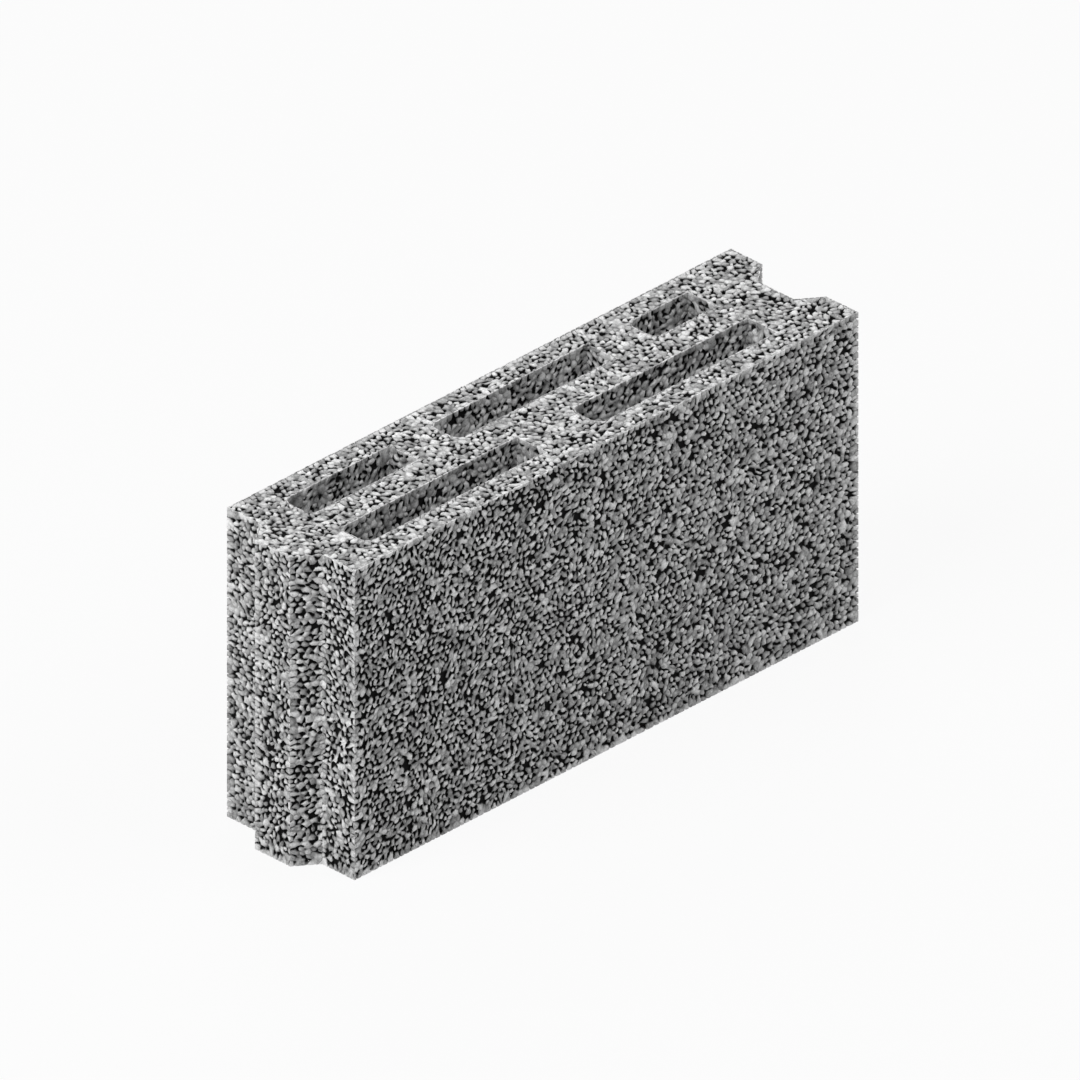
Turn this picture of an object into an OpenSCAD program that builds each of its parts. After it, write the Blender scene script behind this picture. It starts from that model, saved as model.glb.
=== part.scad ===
// Hollow wall block of lightweight-aggregate concrete, cast as one piece.
// It stands on its lower bed face. X runs along the wall from the tongue to the groove,
// Y runs across the wall from the front face to the back face, and Z is up.
// The origin is at the middle of the body's lower bed face, the tongue left out.

/* [Body] */
// Length of the body between its two end faces, the tongue left out
block_l = 400; // [330:5:600]
// Width of the body between its front and back faces
block_w = 100; // [85:1:150]
// Height of the body between its two bed faces
block_h = 200; // [90:5:300]

/* [Tongue and groove] */
// Width of the tongue where it leaves the end face
tongue_root_w = 49.5; // [32:0.5:70]
// Width of the tongue across its flat tip
tongue_tip_w = 27.5; // [15:0.5:45]
// Height of the tongue above the end face
tongue_h = 14.5; // [6:0.5:25]
// Room left between a tongue and the groove of the next block, on each side and at the tip
joint_gap = 0.5; // [0:0.1:2]

/* [Walls and webs] */
// Thickness of the shell along the front face and along the back face
shell_t = 17; // [10:0.5:25]
// Thickness of the long web between the two rows of slots
middle_web_t = 22; // [10:0.5:35]
// Thickness of each cross web in the back row
back_web_t = 32; // [15:0.5:60]
// Thickness of the cross web in the front row
front_web_t = 43; // [15:0.5:80]
// Thickness of the end wall between the tongue's end face and the slots
tongue_wall_t = 27.5; // [15:0.5:60]
// Thickness of the end wall between the groove's floor and the back row of slots
groove_wall_back_t = 36.5; // [15:0.5:60]
// Thickness of the end wall between the groove's floor and the front row of slots
groove_wall_front_t = 33; // [15:0.5:60]

/* [Slots] */
// Radius of the two upright corners of each slot at its end nearest the tongue
slot_corner_r = 6; // [1:0.5:10]

/* [Hidden] */
// Shares of a row's open length, one for each slot, from the tongue to the groove
back_slot_shares = [0.327, 0.486, 0.187];
front_slot_shares = [0.5, 0.5];

// Facets in a full turn of a slot's corner
corner_facets = 48;

// Places along the block
tongue_end_x = -block_l / 2;
tongue_tip_x = tongue_end_x - tongue_h;
groove_end_x = block_l / 2;
groove_floor_x = groove_end_x - tongue_h - joint_gap;
first_slot_x = tongue_end_x + tongue_wall_t;

// The groove is the tongue's own section with the joint's room added
groove_mouth_w = tongue_root_w + 2 * joint_gap;
groove_floor_w = tongue_tip_w + 2 * joint_gap;

// Both rows of slots share the width that the shells and the middle web leave
slot_w = (block_w - 2 * shell_t - middle_web_t) / 2;
row_y = (middle_web_t + slot_w) / 2;

// Sum of the first n shares of a row
function shares_before(shares, n) = n == 0 ? 0 : shares[n - 1] + shares_before(shares, n - 1);

// Plan of the body with its tongue and groove
module body_plan() {
    polygon([
        [tongue_end_x, -block_w / 2],
        [groove_end_x, -block_w / 2],
        [groove_end_x, -groove_mouth_w / 2],
        [groove_floor_x, -groove_floor_w / 2],
        [groove_floor_x, groove_floor_w / 2],
        [groove_end_x, groove_mouth_w / 2],
        [groove_end_x, block_w / 2],
        [tongue_end_x, block_w / 2],
        [tongue_end_x, tongue_root_w / 2],
        [tongue_tip_x, tongue_tip_w / 2],
        [tongue_tip_x, -tongue_tip_w / 2],
        [tongue_end_x, -tongue_root_w / 2]
    ]);
}

// Plan of one slot, from its end nearest the tongue: round corners there and sharp ones at its other end
module slot_plan(slot_l) {
    corner_y = slot_w / 2 - slot_corner_r;
    translate([slot_corner_r, -slot_w / 2]) square([slot_l - slot_corner_r, slot_w]);
    translate([0, -corner_y]) square([slot_corner_r, 2 * corner_y]);
    for (y = [-corner_y, corner_y])
        translate([slot_corner_r, y]) circle(slot_corner_r, $fn = corner_facets);
}

// Plan of one row of slots: the cross webs keep their thickness and the slots share what is left
module slot_row_plan(shares, web_t, groove_wall_t) {
    last_x = groove_floor_x - groove_wall_t;
    open_l = last_x - first_slot_x - (len(shares) - 1) * web_t;
    for (i = [0 : len(shares) - 1])
        translate([first_slot_x + open_l * shares_before(shares, i) + i * web_t, 0])
            slot_plan(open_l * shares[i]);
}

// The whole block: its plan, slots and all, drawn straight up
module block() {
    color("darkgray")
        linear_extrude(height = block_h)
            difference() {
                body_plan();
                translate([0, row_y]) slot_row_plan(back_slot_shares, back_web_t, groove_wall_back_t);
                translate([0, -row_y]) slot_row_plan(front_slot_shares, front_web_t, groove_wall_front_t);
            }
}

block();
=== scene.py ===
"""Dresses a hollow concrete block in pale granules, pressed by the mould into cement paste, with painted
shade that darkens the deep gaps and the paste near black.
"""

import math
import random

import bmesh
import bpy
import numpy as np
from mathutils import Matrix, Vector, noise
from mathutils.geometry import intersect_point_line


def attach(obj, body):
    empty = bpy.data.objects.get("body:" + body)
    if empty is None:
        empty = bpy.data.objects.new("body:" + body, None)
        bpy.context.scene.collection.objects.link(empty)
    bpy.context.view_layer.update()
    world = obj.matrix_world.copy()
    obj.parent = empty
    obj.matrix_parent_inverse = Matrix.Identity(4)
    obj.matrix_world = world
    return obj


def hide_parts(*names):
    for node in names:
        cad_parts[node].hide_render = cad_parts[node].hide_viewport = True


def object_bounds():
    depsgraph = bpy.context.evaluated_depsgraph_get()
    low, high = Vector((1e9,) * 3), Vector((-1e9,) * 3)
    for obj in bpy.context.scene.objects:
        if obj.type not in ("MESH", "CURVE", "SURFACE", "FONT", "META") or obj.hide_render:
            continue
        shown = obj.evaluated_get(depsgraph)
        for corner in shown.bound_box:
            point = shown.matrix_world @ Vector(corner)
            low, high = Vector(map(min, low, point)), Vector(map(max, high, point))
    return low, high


bl_info = {
    "name": "Hollow Concrete Block",
    "version": (1, 0, 0),
    "blender": (4, 5, 0),
    "location": "View3D > Sidebar > Concrete Block",
    "description": "Gives a hollow wall block its open-textured concrete and a studio to stand in",
    "category": "Object",
}

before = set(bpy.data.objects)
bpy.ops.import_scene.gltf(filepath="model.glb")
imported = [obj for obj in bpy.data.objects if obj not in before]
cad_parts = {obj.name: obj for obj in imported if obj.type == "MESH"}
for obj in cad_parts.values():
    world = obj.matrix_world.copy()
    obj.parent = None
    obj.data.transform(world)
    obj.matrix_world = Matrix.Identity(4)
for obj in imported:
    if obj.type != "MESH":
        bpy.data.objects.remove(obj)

NODE = "block"
BODY = "root"
CAD_LOW, CAD_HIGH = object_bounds()
BLOCK_HEIGHT = CAD_HIGH.z - CAD_LOW.z

# Two points closer than this are one point
WELD = 1e-5
# A face smaller than this has no width
NO_AREA = 1e-11
# A plan corner that turns more than this is a sharp upright edge of the block
SHARP_TURN = math.radians(20)
# Edges of a granule that turn more than this are shaded as sharp
SHARP_EDGE = math.radians(80)
# Height of a row of equal triangles for a side of 1
ROW_SHARE = math.sqrt(3) / 2
# Share of the pitch within which a granule's outline is drawn to an edge of the block
SNAP_SHARE = 0.28
# How far the rim of a bed's cells may lie from a round corner of a slot
CURVE_SLACK = 1.5e-4
# Spare rows and columns of scattered corners outside a field, so that its own cells are whole
SPARE = 3
# Share of a column that is added before the columns between two marks are rounded to a whole number
COLUMN_ROUNDING = 0.2
# Place of a field's first corner in its column and in its row
FIRST_COLUMN, FIRST_ROW = 0.25, 0.5
# Rounds in which the cells share their room, and the share of the way that their corners go in each
EASE_ROUNDS, EASE_SHARE = 2, 0.5
# Area of the smallest cell that is kept in a bed face, as a share of the mean
SMALLEST_CELL = 0.08

# Rise of the noise between a bonded place and a gap that is open all the way
GAP_RISE = 0.3
# How far a gap is open beside a pore, at the least
PORE_GAP = 0.6
# Share of its width that a gap keeps along the edges of the walls
EDGE_GAP = 0.3
# How far the rim of a bed face gives way to gaps, as a share of what its inside does
BED_RIM_GIVE = 0.5
# Granules are rounded off beside gaps that are open further than this
ROUNDED_GAP = 0.1
# Length that rounding takes off each side of a granule's corner, in percent
CORNER_CUT = 25
# A gap that is open by the share 1 / GAP_STEEPNESS is as deep as the paste
GAP_STEEPNESS = 1.8
# Random ranges of a gap's width, a crown's width and a crown edge's depth, as shares of the set values
GAP_RANGE = (0.4, 1)
CROWN_RANGE = (0.9, 1.1)
CROWN_EDGE_RANGE = (0.3, 1.7)
# A side whose normal has at least this share along the wall faces along the wall
ALONG_WALL = 0.99

# A face whose normal has less than this share out of the field stands upright on it
UPRIGHT = 0.02
# Rows of a piece's bake map: granules, their sides at the lower bed, their sides at the upper bed
MAP_ROWS = ((0.0, 0.94), (0.95, 0.97), (0.98, 1.0))

# Middle of a noise texture's values
NOISE_MIDDLE = 0.5
# Scale, detail and roughness of the grains of sand and of the patches in the cement coat
SAND_NOISE = (1, 3.0, 0.65)
PATCH_NOISE = (0.4, 2.0, 0.6)
# How much the sand and the patches change a granule's colour, and the depth at which its painted shade
# darkens it
SAND_TINT, PATCH_TINT = 1.2, 1.6
SAND_DEPTH, PATCH_DEPTH = 0.4, 0.6
# Strength of the sand's relief, and its height as a share of a grain
SAND_RELIEF, SAND_HEIGHT = 0.6, 1 / 3
# Shine of the dry concrete
SHINE = 0.1

WHITE = (1.0, 1.0, 1.0)
# Half the width of the floor
FLOOR_REACH = 6.0
# Share of the floor's colour that is plain white to the camera; the rest shows the block's shadow
FLOOR_WHITE = 0.92
# Distance of the camera from the block's middle
CAMERA_DISTANCE = 2.0


class GranuleSettings(bpy.types.PropertyGroup):
    """Sizes of the granules and of the paste between them."""

    pitch: bpy.props.FloatProperty(
        name="Pitch",
        description="Mean distance between neighbouring granules on the outer faces",
        default=0.0043,
        unit="LENGTH",
    )
    slot_pitch: bpy.props.FloatProperty(
        name="Slot pitch",
        description="Mean distance between neighbouring granules on the walls of the slots",
        default=0.0047,
        unit="LENGTH",
    )
    paste_depth: bpy.props.FloatProperty(
        name="Paste depth",
        description="Depth of the cement paste below the block's faces",
        default=0.002,
        unit="LENGTH",
    )
    edge_depth: bpy.props.FloatProperty(
        name="Edge depth",
        description="Depth of the granules' sides that show along the edges of the bed faces",
        default=0.0006,
        unit="LENGTH",
    )
    scatter: bpy.props.FloatProperty(
        name="Scatter",
        description="How far a granule may lie from its place in an even packing, as a share of the pitch",
        default=0.3,
        subtype="FACTOR",
    )
    gap_spread: bpy.props.FloatProperty(
        name="Gap spread",
        description="Mean distance between the open places among the granules",
        default=0.0021,
        unit="LENGTH",
    )
    open_share: bpy.props.FloatProperty(
        name="Open share",
        description="How readily the gaps open: 0 leaves half of the granules' sides bonded",
        default=0.09,
        subtype="FACTOR",
    )
    slot_open_share: bpy.props.FloatProperty(
        name="Slot open share",
        description="How readily the gaps open in the slots, whose cores pack their walls more densely",
        default=-0.06,
        soft_min=-1.0,
        subtype="FACTOR",
    )
    bed_open_share: bpy.props.FloatProperty(
        name="Bed open share",
        description="How readily the gaps open in the bed faces, which the press packs more densely",
        default=0.0,
        subtype="FACTOR",
    )
    widest_gap: bpy.props.FloatProperty(
        name="Widest gap",
        description="Widest gap beside a granule as a share of its half width",
        default=0.34,
        subtype="FACTOR",
    )
    bond_depth: bpy.props.FloatProperty(
        name="Bond depth",
        description="Depth of the creases where granules are bonded to each other",
        default=0.0007,
        unit="LENGTH",
    )
    tilt: bpy.props.FloatProperty(
        name="Tilt",
        description="Steepest slope of a granule's crown against the block's face",
        default=0.3,
        subtype="FACTOR",
    )
    crown: bpy.props.FloatProperty(
        name="Crown",
        description="Width of a granule's crown as a share of its width at the paste",
        default=0.64,
        subtype="FACTOR",
    )
    crown_edge: bpy.props.FloatProperty(
        name="Crown edge",
        description="Depth of the edge of a granule's crown below its top",
        default=0.0003,
        unit="LENGTH",
    )
    deepest_crown: bpy.props.FloatProperty(
        name="Deepest crown",
        description="How far below the block's face the top of a granule may lie",
        default=0.0004,
        unit="LENGTH",
    )
    pores: bpy.props.FloatProperty(
        name="Pores",
        description="Share of the small granules that are missing",
        default=0.2,
        subtype="FACTOR",
    )
    largest_pore: bpy.props.FloatProperty(
        name="Largest pore",
        description="Area of the largest pore as a share of a granule's mean area",
        default=0.55,
        subtype="FACTOR",
    )
    seed: bpy.props.IntProperty(
        name="Seed",
        description="Start of the random draws that scatter and shape the granules",
        default=11,
    )


class ConcreteSettings(bpy.types.PropertyGroup):
    """Colours and finish of the concrete, and the painted shade in its gaps."""

    granule_colour: bpy.props.FloatVectorProperty(
        name="Granules",
        description="Colour of the cement-coated granules",
        default=(0.68, 0.68, 0.68),
        subtype="COLOR",
    )
    # Painted shade: the paste is given a near-black colour, darker than real cement paste, so that the deep
    # gaps and pores look shaded
    gap_shade_colour: bpy.props.FloatVectorProperty(
        name="Gaps",
        description="Colour of the paste deep between the granules",
        default=(0.008, 0.008, 0.008),
        subtype="COLOR",
    )
    tone_spread: bpy.props.FloatProperty(
        name="Tone spread",
        description="How much lighter or darker than the rest a granule may be",
        default=0.42,
        subtype="FACTOR",
    )
    # Painted shade: between these depths a granule's colour goes over to the near-black gap colour, as
    # shade in the gaps and creases
    shade_start: bpy.props.FloatProperty(
        name="Shade start",
        description="Depth at which granules start to darken, as a share of the paste's depth",
        default=0.1,
        subtype="FACTOR",
    )
    shade_end: bpy.props.FloatProperty(
        name="Shade end",
        description="Depth at which only the paste's colour is left, as a share of the paste's depth",
        default=0.68,
        subtype="FACTOR",
    )
    grain: bpy.props.FloatProperty(
        name="Grain",
        description="Size of the grains of sand in the cement coat",
        default=0.0008,
        unit="LENGTH",
    )
    roughness: bpy.props.FloatProperty(
        name="Roughness",
        description="Roughness of the dry concrete",
        default=0.92,
        subtype="FACTOR",
    )


class StageSettings(bpy.types.PropertyGroup):
    """The camera, the lamps and the floor."""

    azimuth: bpy.props.FloatProperty(
        name="Azimuth",
        description="Direction of the camera round the block, from the front face",
        default=math.radians(-45.375),
        subtype="ANGLE",
        unit="ROTATION",
    )
    elevation: bpy.props.FloatProperty(
        name="Elevation",
        description="Angle of the camera above the horizon",
        default=math.radians(30.511),
        subtype="ANGLE",
        unit="ROTATION",
    )
    view_width: bpy.props.FloatProperty(
        name="View width",
        description="Width of the square picture at the block",
        default=0.6023,
        unit="LENGTH",
    )
    aim_right: bpy.props.FloatProperty(
        name="Aim right",
        description="How far to the right of the block's middle the camera aims",
        default=-0.0015,
        unit="LENGTH",
    )
    aim_up: bpy.props.FloatProperty(
        name="Aim up",
        description="How far above the block's middle the camera aims",
        default=0.01355,
        unit="LENGTH",
    )
    key_level: bpy.props.FloatProperty(
        name="Key level",
        description="Brightness that the key lamp alone gives a white card that faces it",
        default=0.66,
    )
    key_direction: bpy.props.FloatVectorProperty(
        name="Key direction",
        description="Direction from the block to the key lamp",
        default=(-0.69, 0.06, 0.72),
        subtype="DIRECTION",
    )
    fill_level: bpy.props.FloatProperty(
        name="Fill level",
        description="Brightness that the fill lamp alone gives a white card that faces it",
        default=0.34,
    )
    fill_direction: bpy.props.FloatVectorProperty(
        name="Fill direction",
        description="Direction from the block to the fill lamp",
        default=(0.4, -0.52, 0.75),
        subtype="DIRECTION",
    )
    back_level: bpy.props.FloatProperty(
        name="Back level",
        description="Brightness that the lamp behind the block alone gives a white card that faces it",
        default=0.25,
    )
    back_direction: bpy.props.FloatVectorProperty(
        name="Back direction",
        description="Direction from the block to the lamp behind it",
        default=(0.5, 0.65, 0.57),
        subtype="DIRECTION",
    )
    lamp_size: bpy.props.FloatProperty(
        name="Lamp size",
        description="Width of each of the round lamps",
        default=1.8,
        unit="LENGTH",
    )
    lamp_distance: bpy.props.FloatProperty(
        name="Lamp distance",
        description="Distance of each lamp from the block's middle",
        default=3.0,
        unit="LENGTH",
    )
    sky_level: bpy.props.FloatProperty(
        name="Sky level",
        description="Brightness of the even light from all round",
        default=0.12,
    )
    floor_colour: bpy.props.FloatVectorProperty(
        name="Floor",
        description="Colour of the floor as it lights the block",
        default=(0.7, 0.7, 0.7),
        subtype="COLOR",
    )


class Outline:
    """A closed line round the block's plan or round a slot, with the concrete on its left."""

    def __init__(self, points):
        self.points = np.array(points)
        ahead = np.roll(self.points, -1, axis=0) - self.points
        lengths = np.linalg.norm(ahead, axis=1)
        self.starts = np.concatenate(([0.0], np.cumsum(lengths)))
        self.length = float(self.starts[-1])
        self.ways = ahead / lengths[:, None]
        self.normals = np.stack((self.ways[:, 1], -self.ways[:, 0]), axis=1)
        before = np.roll(self.normals, 1, axis=0)
        meeting = (before * self.normals).sum(axis=1)
        # From a corner of the outline to the same corner of a line that lies 1 m outside it
        self.mitres = (before + self.normals) / (1 + meeting)[:, None]
        self.sharp = np.flatnonzero(meeting < math.cos(SHARP_TURN))
        self.folds = self.starts[self.sharp]

    def fold(self, flat):
        """Wraps flat points (along, up, out) round the outline as points of the block."""
        along = flat[:, 0] % self.length
        part = np.searchsorted(self.starts, along, side="right") - 1
        after = (part + 1) % len(self.points)
        share = (along - self.starts[part]) / (self.starts[part + 1] - self.starts[part])
        out = flat[:, 2:3]
        here = self.points[part] + out * self.mitres[part]
        there = self.points[after] + out * self.mitres[after]
        return np.column_stack((here + (there - here) * share[:, None], flat[:, 1]))

    def depth(self, point):
        """How deep in the concrete a plan point lies, the outline's nearest point and the way in."""
        away = np.array(point) - self.points
        lengths = np.diff(self.starts)
        reach = np.clip((away * self.ways).sum(axis=1), 0, lengths)
        nearest = self.points + self.ways * reach[:, None]
        gaps = np.linalg.norm(np.array(point) - nearest, axis=1)
        part = int(gaps.argmin())
        inside = (away[part] * self.normals[part]).sum() < 0
        inward = -self.normals[part]
        if reach[part] == 0:
            inward = -self.mitres[part]
        elif reach[part] == lengths[part]:
            inward = -self.mitres[(part + 1) % len(self.points)]
        return gaps[part] if inside else -gaps[part], nearest[part], inward


def plan_outlines():
    """The outlines of the block's upper bed face, the outer one first and then the slots.

    Each starts at a sharp corner of its groove-side end.
    """
    bm = bmesh.new()
    bm.from_mesh(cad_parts[NODE].data)
    bmesh.ops.remove_doubles(bm, verts=bm.verts, dist=WELD)
    for face in bm.faces:
        face.tag = all(CAD_HIGH.z - vert.co.z < WELD for vert in face.verts)
    ahead = {}
    for face in bm.faces:
        for loop in face.loops:
            if face.tag and not loop.link_loop_radial_next.face.tag:
                ahead[loop.vert] = loop.link_loop_next.vert
    outlines = []
    while ahead:
        vert = max(ahead, key=lambda v: (round(v.co.x, 5), round(v.co.y, 5)))
        points = []
        while vert in ahead:
            points.append(vert.co.xy[:])
            vert = ahead.pop(vert)
        outlines.append(Outline(points))
    bm.free()
    return sorted(outlines, key=lambda line: -line.length)


def scattered_triangles(marks, low, high, pitch, scatter, draw):
    """A flat mesh of triangles with a corner for each granule, in whole columns between the marks along X.

    The field repeats past its last mark, and its rows fill the height between low and high.
    """
    lengths = np.diff(marks)
    counts = [max(1, round(length / pitch + COLUMN_ROUNDING)) for length in lengths]
    columns = sum(counts)
    column_marks = np.concatenate(([0], np.cumsum(counts)))
    rows = round((high - low) / (pitch * ROW_SHARE))
    rise = (high - low) / rows
    wide, tall = columns + 2 * SPARE, rows + 2 * SPARE
    moves = [[(draw.uniform(-scatter, scatter), draw.uniform(-scatter, scatter)) for _ in range(columns)]
             for _ in range(tall + 1)]
    bm = bmesh.new()
    # The grid runs from -0.5 to 0.5, and every other row is moved by half a column
    bmesh.ops.create_grid(bm, x_segments=wide, y_segments=tall, size=0.5)
    for vert in bm.verts:
        column = round((vert.co.x + 0.5) * wide) - SPARE
        row = round((vert.co.y + 0.5) * tall)
        right, up = moves[row][column % columns]
        turns, rest = divmod(column + FIRST_COLUMN + row % 2 / 2 + right, columns)
        vert.co.x = turns * (marks[-1] - marks[0]) + np.interp(rest, column_marks, marks)
        vert.co.y = low + (row - SPARE + FIRST_ROW + up) * rise
    bmesh.ops.triangulate(bm, faces=bm.faces, quad_method="SHORT_EDGE")
    bmesh.ops.beautify_fill(bm, faces=bm.faces, edges=bm.edges, method="ANGLE")
    return bm


def granule_cells(marks, low, high, pitch, scatter, draw):
    """The cells of a field's granules, pressed together round the corners of its triangles."""
    bm = scattered_triangles(marks, low, high, pitch, scatter, draw)
    corners = [vert for vert in bm.verts if not vert.is_boundary]
    rim = [vert for vert in bm.verts if vert.is_boundary]
    sides = [edge for edge in bm.edges if not edge.is_boundary]
    bmesh.ops.poke(bm, faces=bm.faces)
    bmesh.ops.rotate_edges(bm, edges=sides)
    bmesh.ops.dissolve_verts(bm, verts=corners)
    bmesh.ops.delete(bm, geom=rim, context="VERTS")
    bm.verts.layers.int.new("held_across")
    bm.verts.layers.int.new("held_up")
    return bm


def keep_faces(bm, wanted):
    """Deletes the faces that aren't wanted, and any corners that lie on no face."""
    unwanted = [face for face in bm.faces if not wanted(face)]
    bmesh.ops.delete(bm, geom=unwanted, context="FACES")
    loose = [vert for vert in bm.verts if not vert.link_faces]
    bmesh.ops.delete(bm, geom=loose, context="VERTS")


def ease_cells(bm):
    """Lets the cells share their room more evenly, up to the edges that are held."""
    up = bm.verts.layers.int["held_up"]
    across = bm.verts.layers.int["held_across"]
    free = [vert for vert in bm.verts if not (vert[up] or vert[across] or vert.is_boundary)]
    for _ in range(EASE_ROUNDS):
        bmesh.ops.smooth_vert(bm, verts=free, factor=EASE_SHARE, use_axis_x=True, use_axis_y=True)


def fit_to_wall(bm, outline, pitch):
    """Ends a wall's cells at the two bed faces, and parts them at the upright edges of the block."""
    across = bm.verts.layers.int["held_across"]
    up = bm.verts.layers.int["held_up"]
    keep_faces(bm, lambda cell: 0 < cell.calc_center_median().y < BLOCK_HEIGHT)
    for vert in bm.verts:
        if vert.is_boundary:
            vert.co.y = 0 if vert.co.y < BLOCK_HEIGHT / 2 else BLOCK_HEIGHT
    low = min(vert.co.x for vert in bm.verts)
    high = max(vert.co.x for vert in bm.verts)
    turns = (-outline.length, 0, outline.length)
    folds = [fold + turn for turn in turns for fold in outline.folds if low < fold + turn < high]
    for fold in folds:
        for vert in bm.verts:
            if abs(vert.co.x - fold) < SNAP_SHARE * pitch:
                vert.co.x = fold
        whole = bm.verts[:] + bm.edges[:] + bm.faces[:]
        bmesh.ops.bisect_plane(bm, geom=whole, dist=WELD, plane_co=(fold, 0, 0), plane_no=(1, 0, 0))
    for vert in bm.verts:
        vert[up] = min(abs(vert.co.y), abs(vert.co.y - BLOCK_HEIGHT)) < WELD
        vert[across] = any(abs(vert.co.x - fold) < WELD for fold in folds)
    ease_cells(bm)
    keep_faces(bm, lambda cell: 0 <= cell.calc_center_median().x < outline.length)


def reach_corners(bm, outlines, rim, pitch):
    """Draws the rim of a bed's cells out to the sharp corners of the block and of the slots."""
    for line in outlines:
        for number in line.sharp:
            corner = Vector((*(line.points[number] - line.mitres[number] * rim), 0))

            def gap(edge):
                ends = [vert.co for vert in edge.verts]
                near, share = intersect_point_line(corner, *ends)
                if not 0 < share < 1:
                    return min((corner - end).length for end in ends)
                return (corner - near).length

            side = min((edge for edge in bm.edges if edge.is_boundary), key=gap)
            vert = min(side.verts, key=lambda end: (end.co - corner).length)
            if (vert.co - corner).length > SNAP_SHARE * pitch:
                vert = bmesh.utils.edge_split(side, side.verts[0], 0.5)[1]
            vert.co = corner


def follow_curves(bm, nearest_edge, rim):
    """Bends the rim of a bed's cells along the round corners of the slots."""
    for side in [edge for edge in bm.edges if edge.is_boundary]:
        middle = (side.verts[0].co + side.verts[1].co) / 2
        _, edge, inward = nearest_edge(middle.xy)
        bend = Vector((*(edge + inward * rim), 0))
        if (bend - middle).length > CURVE_SLACK:
            bmesh.utils.edge_split(side, side.verts[0], 0.5)[1].co = bend


def fit_to_bed(bm, outlines, rim, pitch):
    """Keeps the cells that lie on a bed face, and ends them at the rim that the walls leave."""
    across = bm.verts.layers.int["held_across"]
    up = bm.verts.layers.int["held_up"]

    def nearest_edge(place):
        return min((line.depth(place) for line in outlines), key=lambda found: found[0])

    keep_faces(bm, lambda cell: nearest_edge(cell.calc_center_median().xy)[0] > rim - SNAP_SHARE * pitch)
    for vert in bm.verts:
        depth, edge, inward = nearest_edge(vert.co.xy)
        if vert.is_boundary or depth < rim:
            vert.co.xy = edge + inward * rim
            vert[across] = vert[up] = True
    reach_corners(bm, outlines, rim, pitch)
    follow_curves(bm, nearest_edge, rim)
    for vert in bm.verts:
        if vert.is_boundary:
            vert[across] = vert[up] = True
    ease_cells(bm)
    room = sum(cell.calc_area() for cell in bm.faces) / len(bm.faces)
    keep_faces(bm, lambda cell: cell.calc_area() > SMALLEST_CELL * room)


def by_place(cells):
    """Cells in the order of their places, so that each is given the same random draws every time."""
    return sorted(cells, key=lambda cell: cell.calc_center_median()[:])


def leave_pores(bm, sizes, draw):
    """Leaves out some of the small granules inside the field, so that there are pores in their places."""
    up = bm.verts.layers.int["held_up"]
    across = bm.verts.layers.int["held_across"]
    room = sum(cell.calc_area() for cell in bm.faces) / len(bm.faces)
    pores = [cell for cell in by_place(bm.faces)
             if draw.random() < sizes.pores
             and cell.calc_area() < room * sizes.largest_pore
             and not any(vert[up] or vert[across] for vert in cell.verts)]
    beside = bm.verts.layers.int.new("beside_pore")
    for cell in pores:
        for vert in cell.verts:
            vert[beside] = True
    bmesh.ops.delete(bm, geom=pores, context="FACES")


def find_gaps(bm, place, spread, open_share):
    """Notes how far the gap at each corner is open: 0 where granules are bonded, 1 at the widest."""
    gap = bm.verts.layers.float["gap"]
    across = bm.verts.layers.int["held_across"]
    up = bm.verts.layers.int["held_up"]
    beside = bm.verts.layers.int["beside_pore"]
    spots = place(np.array([vert.co for vert in bm.verts])) / spread
    for vert, spot in zip(bm.verts, spots):
        vert[gap] = min(1, max(0, (noise.noise(spot) + open_share) / GAP_RISE))
        if vert[beside]:
            vert[gap] = max(vert[gap], PORE_GAP)
        # Corners that are held one way only lie along an edge of a wall
        if vert[across] != vert[up]:
            vert[gap] *= EDGE_GAP


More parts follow.
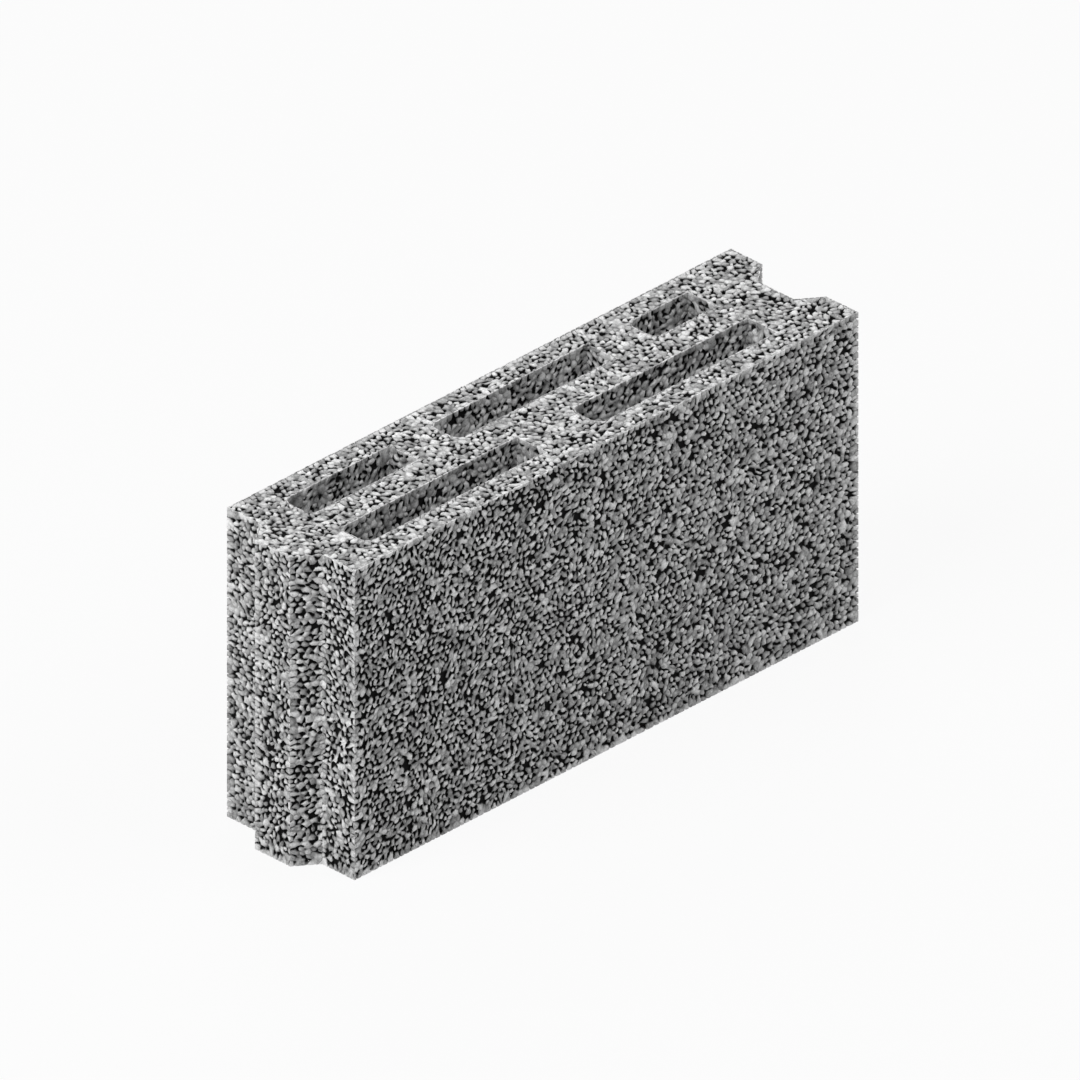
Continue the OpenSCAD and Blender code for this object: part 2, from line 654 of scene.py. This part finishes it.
def raise_granules(bm, sizes, draw, place, open_share, rim_give=0.0):
    """Raises each cell out of the paste to a granule with a rough crown, bonded to some of its neighbours.

    Corners that are held to an edge of the block give way to gaps by the share rim_give.
    """
    across = bm.verts.layers.int["held_across"]
    up = bm.verts.layers.int["held_up"]
    gap = bm.verts.layers.float.new("gap")
    tone = bm.faces.layers.float.new("tone")

    def draw_in(vert, centre, share):
        right = 1 - (1 - share) * (rim_give if vert[across] else 1)
        rise = 1 - (1 - share) * (rim_give if vert[up] else 1)
        vert.co.x = centre.x + (vert.co.x - centre.x) * right
        vert.co.y = centre.y + (vert.co.y - centre.y) * rise

    leave_pores(bm, sizes, draw)
    bmesh.ops.split_edges(bm, edges=bm.edges)
    find_gaps(bm, place, sizes.gap_spread, open_share)
    loose = [vert for vert in bm.verts if vert[gap] > ROUNDED_GAP and not (vert[up] or vert[across])]
    bmesh.ops.bevel(
        bm, geom=loose, offset=CORNER_CUT, offset_type="PERCENT", segments=1, profile=0.5,
        affect="VERTICES", material=-1, clamp_overlap=False)
    find_gaps(bm, place, sizes.gap_spread, open_share)
    for cell in by_place(bm.faces):
        cell[tone] = draw.uniform(-1, 1)
        centre = cell.calc_center_median()
        for vert in sorted(cell.verts, key=lambda vert: vert.co[:]):
            draw_in(vert, centre, 1 - vert[gap] * sizes.widest_gap * draw.uniform(*GAP_RANGE))
            sunk = min(1, vert[gap] * GAP_STEEPNESS)
            depth = sizes.bond_depth + (sizes.paste_depth - sizes.bond_depth) * sunk
            vert.co.z = -sizes.edge_depth if vert[up] and not vert[across] else -depth
    crowns = bmesh.ops.extrude_discrete_faces(bm, faces=bm.faces)["faces"]
    for face in by_place(crowns):
        centre = face.calc_center_median()
        share = sizes.crown * draw.uniform(*CROWN_RANGE)
        # The square keeps most of the tops close to the face
        sunk = sizes.deepest_crown * draw.random() ** 2
        slope = [draw.uniform(-sizes.tilt, sizes.tilt) for _ in range(2)]
        for vert in sorted(face.verts, key=lambda vert: vert.co[:]):
            draw_in(vert, centre, share)
            rise = (vert.co.x - centre.x) * slope[0] + (vert.co.y - centre.y) * slope[1]
            vert.co.z = min(0, rise - sizes.crown_edge * draw.uniform(*CROWN_EDGE_RANGE) - sunk)
            if vert[across] or vert[up]:
                vert.co.z = 0
    for apex in bmesh.ops.poke(bm, faces=crowns)["verts"]:
        apex.co.z = min(0, apex.co.z + sizes.crown_edge)
    drop_hidden_sides(bm, across)


def drop_hidden_sides(bm, across):
    """Deletes faces of no width, and the sides along which a granule continues round an upright edge."""

    def shown(face):
        along_edge = abs(face.normal.x) > ALONG_WALL and all(vert[across] for vert in face.verts)
        return face.calc_area() > NO_AREA and not along_edge

    keep_faces(bm, shown)


def numbers(items, name, width):
    """One property of all of a mesh's items as an array."""
    found = np.empty(len(items) * width, np.float32)
    items.foreach_get(name, found)
    return found.reshape(-1, width).astype(float)


def lay_bake_map(mesh, flat):
    """Lays the flat field out as the map its colours are baked on.

    The sides at the bed faces, which stand upright on the field, are in rows of their own.
    """
    normals = numbers(mesh.polygons, "normal", 3)
    counts = numbers(mesh.polygons, "loop_total", 1)[:, 0].astype(int)
    upright = np.abs(normals[:, 2]) < UPRIGHT
    kinds = np.where(upright, np.where(normals[:, 1] < 0, 1, 2), 0)
    corners = np.repeat(kinds, counts)
    places = flat[numbers(mesh.loops, "vertex_index", 1)[:, 0].astype(int)]
    low, high = flat.min(axis=0), flat.max(axis=0)
    share = (places - low) / (high - low)
    row_low, row_high = np.array(MAP_ROWS)[corners].T
    across = np.where(corners > 0, share[:, 2], share[:, 1])
    places = np.stack((share[:, 0], row_low + (row_high - row_low) * across), axis=1)
    layer = mesh.uv_layers.new(name="OFBake")
    layer.uv.foreach_set("vector", places.astype(np.float32).ravel())


def finished_piece(name, bm, place, depths, material):
    """Makes a flat field the piece it stands for: mapped, put in its place and given its concrete."""
    mesh = bpy.data.meshes.new(name)
    bm.to_mesh(mesh)
    bm.free()
    flat = numbers(mesh.vertices, "co", 3)
    lay_bake_map(mesh, flat)
    # Depth below the face, from which the material paints shade into the gaps and creases
    depth = mesh.attributes.new("depth", "FLOAT", "POINT")
    depth.data.foreach_set("value", depths(flat).astype(np.float32))
    mesh.vertices.foreach_set("co", place(flat).astype(np.float32).ravel())
    mesh.shade_smooth()
    mesh.set_sharp_from_angle(angle=SHARP_EDGE)
    mesh.materials.append(material)
    mesh.update()
    piece = bpy.data.objects.new(name, mesh)
    bpy.context.collection.objects.link(piece)
    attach(piece, BODY)
    return piece


def wall_piece(name, cells, outline, sizes, open_share, draw, material):
    """A wall of the block or of a slot, from the cells of its granules."""
    raise_granules(cells, sizes, draw, outline.fold, open_share)

    def depths(flat):
        # Near the bed faces the depth is cut to the distance from them, so the painted shade fades out
        # along the block's edges
        to_beds = np.minimum(flat[:, 1], BLOCK_HEIGHT - flat[:, 1])
        return np.minimum(-flat[:, 2], to_beds) / sizes.paste_depth

    return finished_piece(name, cells, outline.fold, depths, material)


class Value:
    """A number in a shader. Sums with it add Math nodes."""

    def __init__(self, shader, socket):
        self.shader = shader
        self.socket = socket

    def math(self, operation, *terms):
        """Adds a Math node that joins the terms."""
        return self.shader.node("ShaderNodeMath", {"operation": operation}, dict(enumerate(terms)))

    def __add__(self, other):
        return self.math("ADD", self, other)

    def __sub__(self, other):
        return self.math("SUBTRACT", self, other)

    def __mul__(self, other):
        return self.math("MULTIPLY", self, other)

    __radd__ = __add__


class Shader:
    """A material or world whose nodes are added one call at a time."""

    def __init__(self, owner):
        owner.use_nodes = True
        self.owner = owner
        self.tree = owner.node_tree
        self.tree.nodes.clear()

    def node(self, kind, settings=None, sockets=None, output=0):
        """Adds a node, sets it up, feeds its sockets and returns one of its outputs."""
        node = self.tree.nodes.new(kind)
        for name, setting in (settings or {}).items():
            setattr(node, name, setting)
        for name, value in (sockets or {}).items():
            if isinstance(value, Value):
                self.tree.links.new(value.socket, node.inputs[name])
            else:
                node.inputs[name].default_value = value
        return Value(self, node.outputs[output]) if node.outputs else None


def opaque(colour):
    """A colour with full alpha."""
    return (*colour, 1.0)


def coat_noise(shader, look, scale, detail, roughness):
    """A noise in the cement coat, with features as large as a grain of sand where its scale is 1."""
    place = shader.node("ShaderNodeTexCoord", output="Object")
    return shader.node(
        "ShaderNodeTexNoise", {"noise_dimensions": "3D"},
        {"Vector": place, "Scale": scale / look.grain, "Detail": detail, "Roughness": roughness})


def dry_concrete(shader, look, colour, sand):
    """Ends a material as dry, matt concrete with its sand in relief."""
    relief = shader.node(
        "ShaderNodeBump", None,
        {"Strength": SAND_RELIEF, "Distance": look.grain * SAND_HEIGHT, "Height": sand})
    surface = shader.node(
        "ShaderNodeBsdfPrincipled", None,
        {"Base Color": colour, "Roughness": look.roughness, "Specular IOR Level": SHINE, "Normal": relief})
    shader.node("ShaderNodeOutputMaterial", None, {"Surface": surface})
    return shader.owner


def concrete_material(look):
    """Cement-coated granules, each of its own tone, with painted shade that darkens them with depth towards
    the paste between them.
    """
    shader = Shader(bpy.data.materials.new("open_textured_concrete"))
    depth = shader.node("ShaderNodeAttribute", {"attribute_name": "depth"}, output="Fac")
    tone = shader.node("ShaderNodeAttribute", {"attribute_name": "tone"}, output="Fac")
    sand = coat_noise(shader, look, *SAND_NOISE)
    patch = coat_noise(shader, look, *PATCH_NOISE)
    sand_wave = sand - NOISE_MIDDLE
    patch_wave = patch - NOISE_MIDDLE
    level = 1 + tone * look.tone_spread + sand_wave * SAND_TINT + patch_wave * PATCH_TINT
    granule = shader.node(
        "ShaderNodeVectorMath", {"operation": "SCALE"}, {"Vector": look.granule_colour[:], "Scale": level})
    # Painted shade: the deeper a place lies below the face, the more its colour goes over to the near-black
    # gap colour
    rough_depth = depth + sand_wave * SAND_DEPTH + patch_wave * PATCH_DEPTH
    shade = shader.node(
        "ShaderNodeMapRange", {"interpolation_type": "SMOOTHSTEP"},
        {"Value": rough_depth, "From Min": look.shade_start, "From Max": look.shade_end})
    colour = shader.node(
        "ShaderNodeMix", {"data_type": "RGBA"},
        {"Factor": shade, "A": granule, "B": opaque(look.gap_shade_colour)}, output="Result")
    return dry_concrete(shader, look, colour, sand)


def shaded_paste_material(look):
    """The cement paste at the bottom of the gaps, painted near black as the shade deep in the gaps."""
    shader = Shader(bpy.data.materials.new("cement_paste"))
    sand = coat_noise(shader, look, *SAND_NOISE)
    colour = shader.node(
        "ShaderNodeVectorMath", {"operation": "SCALE"},
        {"Vector": look.gap_shade_colour[:], "Scale": sand + NOISE_MIDDLE})
    return dry_concrete(shader, look, colour, sand)


def material_once(name, make, look):
    """A material by name, made the first time it is asked for."""
    return bpy.data.materials.get(name) or make(look)


class BLOCK_OT_cement_paste(bpy.types.Operator):
    """Set the paste that the granules sit in just inside the block's faces, painted near black as shade"""

    bl_idname = "block.cement_paste"
    bl_label = "Cement Paste"

    def execute(self, context):
        sizes = context.scene.block_granules
        bm = bmesh.new()
        bm.from_mesh(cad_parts[NODE].data)
        bmesh.ops.remove_doubles(bm, verts=bm.verts, dist=WELD)
        bm.normal_update()
        moves = [vert.normal * vert.calc_shell_factor() * sizes.paste_depth for vert in bm.verts]
        for vert, move in zip(bm.verts, moves):
            vert.co -= move
        mesh = bpy.data.meshes.new("cement_paste")
        bm.to_mesh(mesh)
        bm.free()
        mesh.materials.append(material_once("cement_paste", shaded_paste_material, context.scene.block_concrete))
        piece = bpy.data.objects.new("cement_paste", mesh)
        context.collection.objects.link(piece)
        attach(piece, BODY)
        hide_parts(NODE)
        return {"FINISHED"}


class BLOCK_OT_outer_granules(bpy.types.Operator):
    """Press granules into the front, the back and the two ends, round the tongue and the groove"""

    bl_idname = "block.outer_granules"
    bl_label = "Outer Granules"

    @staticmethod
    def side(outline, cell):
        """Name of the side of the block that a flat cell lies on."""
        x, y, _ = outline.fold(np.array([cell.calc_center_median()]))[0]
        if y < CAD_LOW.y + WELD:
            return "front_granules"
        if y > CAD_HIGH.y - WELD:
            return "back_granules"
        return "tongue_end_granules" if x < 0 else "groove_end_granules"

    def execute(self, context):
        sizes = context.scene.block_granules
        material = material_once("open_textured_concrete", concrete_material, context.scene.block_concrete)
        draw = random.Random(sizes.seed)
        outline = plan_outlines()[0]
        marks = [*outline.folds, outline.length]
        cells = granule_cells(marks, 0, BLOCK_HEIGHT, sizes.pitch, sizes.scatter, draw)
        fit_to_wall(cells, outline, sizes.pitch)
        sides = {}
        cells.faces.index_update()
        for cell in cells.faces:
            sides.setdefault(self.side(outline, cell), set()).add(cell.index)
        for name in sorted(sides):
            own = cells.copy()
            keep_faces(own, lambda cell: cell.index in sides[name])
            wall_piece(name, own, outline, sizes, sizes.open_share, draw, material)
        cells.free()
        return {"FINISHED"}


class BLOCK_OT_slot_granules(bpy.types.Operator):
    """Press granules into the walls of the slots"""

    bl_idname = "block.slot_granules"
    bl_label = "Slot Granules"

    def execute(self, context):
        sizes = context.scene.block_granules
        material = material_once("open_textured_concrete", concrete_material, context.scene.block_concrete)
        draw = random.Random(sizes.seed + 1)
        slots = sorted(plan_outlines()[1:], key=lambda line: tuple(line.points.mean(axis=0)))
        for row, behind in (("front", False), ("back", True)):
            own = [line for line in slots if (line.points[:, 1].mean() > 0) == behind]
            for number, outline in enumerate(own, start=1):
                marks = [*outline.folds, outline.length]
                cells = granule_cells(marks, 0, BLOCK_HEIGHT, sizes.slot_pitch, sizes.scatter, draw)
                fit_to_wall(cells, outline, sizes.slot_pitch)
                name = f"{row}_slot_{number}_granules"
                wall_piece(name, cells, outline, sizes, sizes.slot_open_share, draw, material)
        return {"FINISHED"}


class BLOCK_OT_bed_granules(bpy.types.Operator):
    """Press granules into the upper and lower bed faces, between the rims that the walls leave"""

    bl_idname = "block.bed_granules"
    bl_label = "Bed Face Granules"

    def execute(self, context):
        sizes = context.scene.block_granules
        material = material_once("open_textured_concrete", concrete_material, context.scene.block_concrete)
        draw = random.Random(sizes.seed + 2)
        outlines = plan_outlines()
        turned = [Outline((line.points * (1, -1))[::-1]) for line in outlines]
        upright = Matrix.Translation((0, 0, CAD_HIGH.z))
        upside_down = Matrix.Rotation(math.pi, 4, "X")
        for name, lines, matrix in (
                ("upper_bed_granules", outlines, upright), ("lower_bed_granules", turned, upside_down)):
            cells = granule_cells(
                (CAD_LOW.x, CAD_HIGH.x), CAD_LOW.y, CAD_HIGH.y, sizes.pitch, sizes.scatter, draw)
            fit_to_bed(cells, lines, sizes.edge_depth, sizes.pitch)
            turn = np.array(matrix)

            def place(flat):
                return flat @ turn[:3, :3].T + turn[:3, 3]

            raise_granules(cells, sizes, draw, place, sizes.bed_open_share, BED_RIM_GIVE)
            finished_piece(name, cells, place, lambda flat: -flat[:, 2] / sizes.paste_depth, material)
        return {"FINISHED"}


class BLOCK_OT_stage(bpy.types.Operator):
    """Set up the floor, the light and the camera"""

    bl_idname = "block.stage"
    bl_label = "Stage"

    @staticmethod
    def seen(shader):
        """1 for what the camera sees, straight or in a mirror or glass, and 0 for what lights the block."""
        camera, mirror, glass = (
            shader.node("ShaderNodeLightPath", output=name)
            for name in ("Is Camera Ray", "Is Glossy Ray", "Is Transmission Ray"))
        return camera + mirror + glass

    def make_floor(self, context, stage):
        """A floor that looks almost white and keeps a trace of the block's shadow."""
        bm = bmesh.new()
        bmesh.ops.create_grid(bm, x_segments=1, y_segments=1, size=FLOOR_REACH)
        bmesh.ops.translate(bm, verts=bm.verts, vec=(0, 0, CAD_LOW.z))
        mesh = bpy.data.meshes.new("floor")
        bm.to_mesh(mesh)
        bm.free()
        shader = Shader(bpy.data.materials.new("pale_floor"))
        matt = shader.node("ShaderNodeBsdfDiffuse", None, {"Color": opaque(stage.floor_colour)})
        white = shader.node("ShaderNodeEmission", None, {"Strength": 1.0})
        share = self.seen(shader) * FLOOR_WHITE
        mixed = shader.node("ShaderNodeMixShader", None, {0: share, 1: matt, 2: white})
        shader.node("ShaderNodeOutputMaterial", None, {"Surface": mixed})
        mesh.materials.append(shader.owner)
        floor = bpy.data.objects.new("floor", mesh)
        context.collection.objects.link(floor)

    def make_sky(self, context, stage):
        """Even light from all round, behind which the background is white."""
        shader = Shader(bpy.data.worlds.new("studio"))
        strength = stage.sky_level + self.seen(shader) * (1.0 - stage.sky_level)
        white = shader.node("ShaderNodeBackground", None, {"Color": opaque(WHITE), "Strength": strength})
        shader.node("ShaderNodeOutputWorld", None, {"Surface": white})
        context.scene.world = shader.owner

    def make_lamp(self, context, stage, name, level, direction):
        """A round lamp that faces the block's middle."""
        lamp = bpy.data.lights.new(name, "AREA")
        lamp.shape = "DISK"
        lamp.size = stage.lamp_size
        # A small lamp of this power lights a white card that faces it to the level
        lamp.energy = level * (math.pi * stage.lamp_distance) ** 2
        holder = bpy.data.objects.new(name, lamp)
        way = Vector(direction).normalized()
        holder.location = (CAD_LOW + CAD_HIGH) / 2 + way * stage.lamp_distance
        holder.rotation_euler = way.to_track_quat("Z", "Y").to_euler()
        context.collection.objects.link(holder)

    def make_camera(self, context, stage):
        """A camera with parallel rays, like the view in the photo."""
        back = Vector((math.sin(stage.azimuth) * math.cos(stage.elevation),
                       -math.cos(stage.azimuth) * math.cos(stage.elevation),
                       math.sin(stage.elevation)))
        turn = back.to_track_quat("Z", "Y")
        aim = turn @ Vector((stage.aim_right, stage.aim_up, CAMERA_DISTANCE))
        data = bpy.data.cameras.new("camera")
        data.type = "ORTHO"
        data.ortho_scale = stage.view_width
        camera = bpy.data.objects.new("camera", data)
        camera.location = Vector((0, 0, BLOCK_HEIGHT / 2)) + aim
        camera.rotation_euler = turn.to_euler()
        context.collection.objects.link(camera)
        context.scene.camera = camera

    def execute(self, context):
        stage = context.scene.block_stage
        context.scene.view_settings.view_transform = "Standard"
        self.make_floor(context, stage)
        self.make_sky(context, stage)
        self.make_lamp(context, stage, "key", stage.key_level, stage.key_direction)
        self.make_lamp(context, stage, "fill", stage.fill_level, stage.fill_direction)
        self.make_lamp(context, stage, "back", stage.back_level, stage.back_direction)
        self.make_camera(context, stage)
        return {"FINISHED"}


class BLOCK_PT_sidebar(bpy.types.Panel):
    """Lists the block's sizes and the steps that make it"""

    bl_label = "Concrete Block"
    bl_space_type = "VIEW_3D"
    bl_region_type = "UI"
    bl_category = "Concrete Block"

    def draw(self, context):
        scene = context.scene
        for settings in (scene.block_granules, scene.block_concrete, scene.block_stage):
            box = self.layout.box()
            for name in settings.__annotations__:
                box.prop(settings, name)
        for step in STEPS:
            self.layout.operator(step.bl_idname)


STEPS = (
    BLOCK_OT_cement_paste,
    BLOCK_OT_outer_granules,
    BLOCK_OT_slot_granules,
    BLOCK_OT_bed_granules,
    BLOCK_OT_stage,
)
SETTINGS = {
    "block_granules": GranuleSettings,
    "block_concrete": ConcreteSettings,
    "block_stage": StageSettings,
}


def register():
    """Adds the settings, the steps and the panel."""
    for item in (*SETTINGS.values(), *STEPS, BLOCK_PT_sidebar):
        bpy.utils.register_class(item)
    for name, settings in SETTINGS.items():
        setattr(bpy.types.Scene, name, bpy.props.PointerProperty(type=settings))


def unregister():
    """Takes the panel, the steps and the settings away."""
    for name in SETTINGS:
        delattr(bpy.types.Scene, name)
    for item in (BLOCK_PT_sidebar, *reversed(STEPS), *reversed(SETTINGS.values())):
        bpy.utils.unregister_class(item)


def main():
    """Makes the block and its stage."""
    register()
    bpy.ops.block.cement_paste()
    bpy.ops.block.outer_granules()
    bpy.ops.block.slot_granules()
    bpy.ops.block.bed_granules()
    bpy.ops.block.stage()


if __name__ == "__main__":
    main()
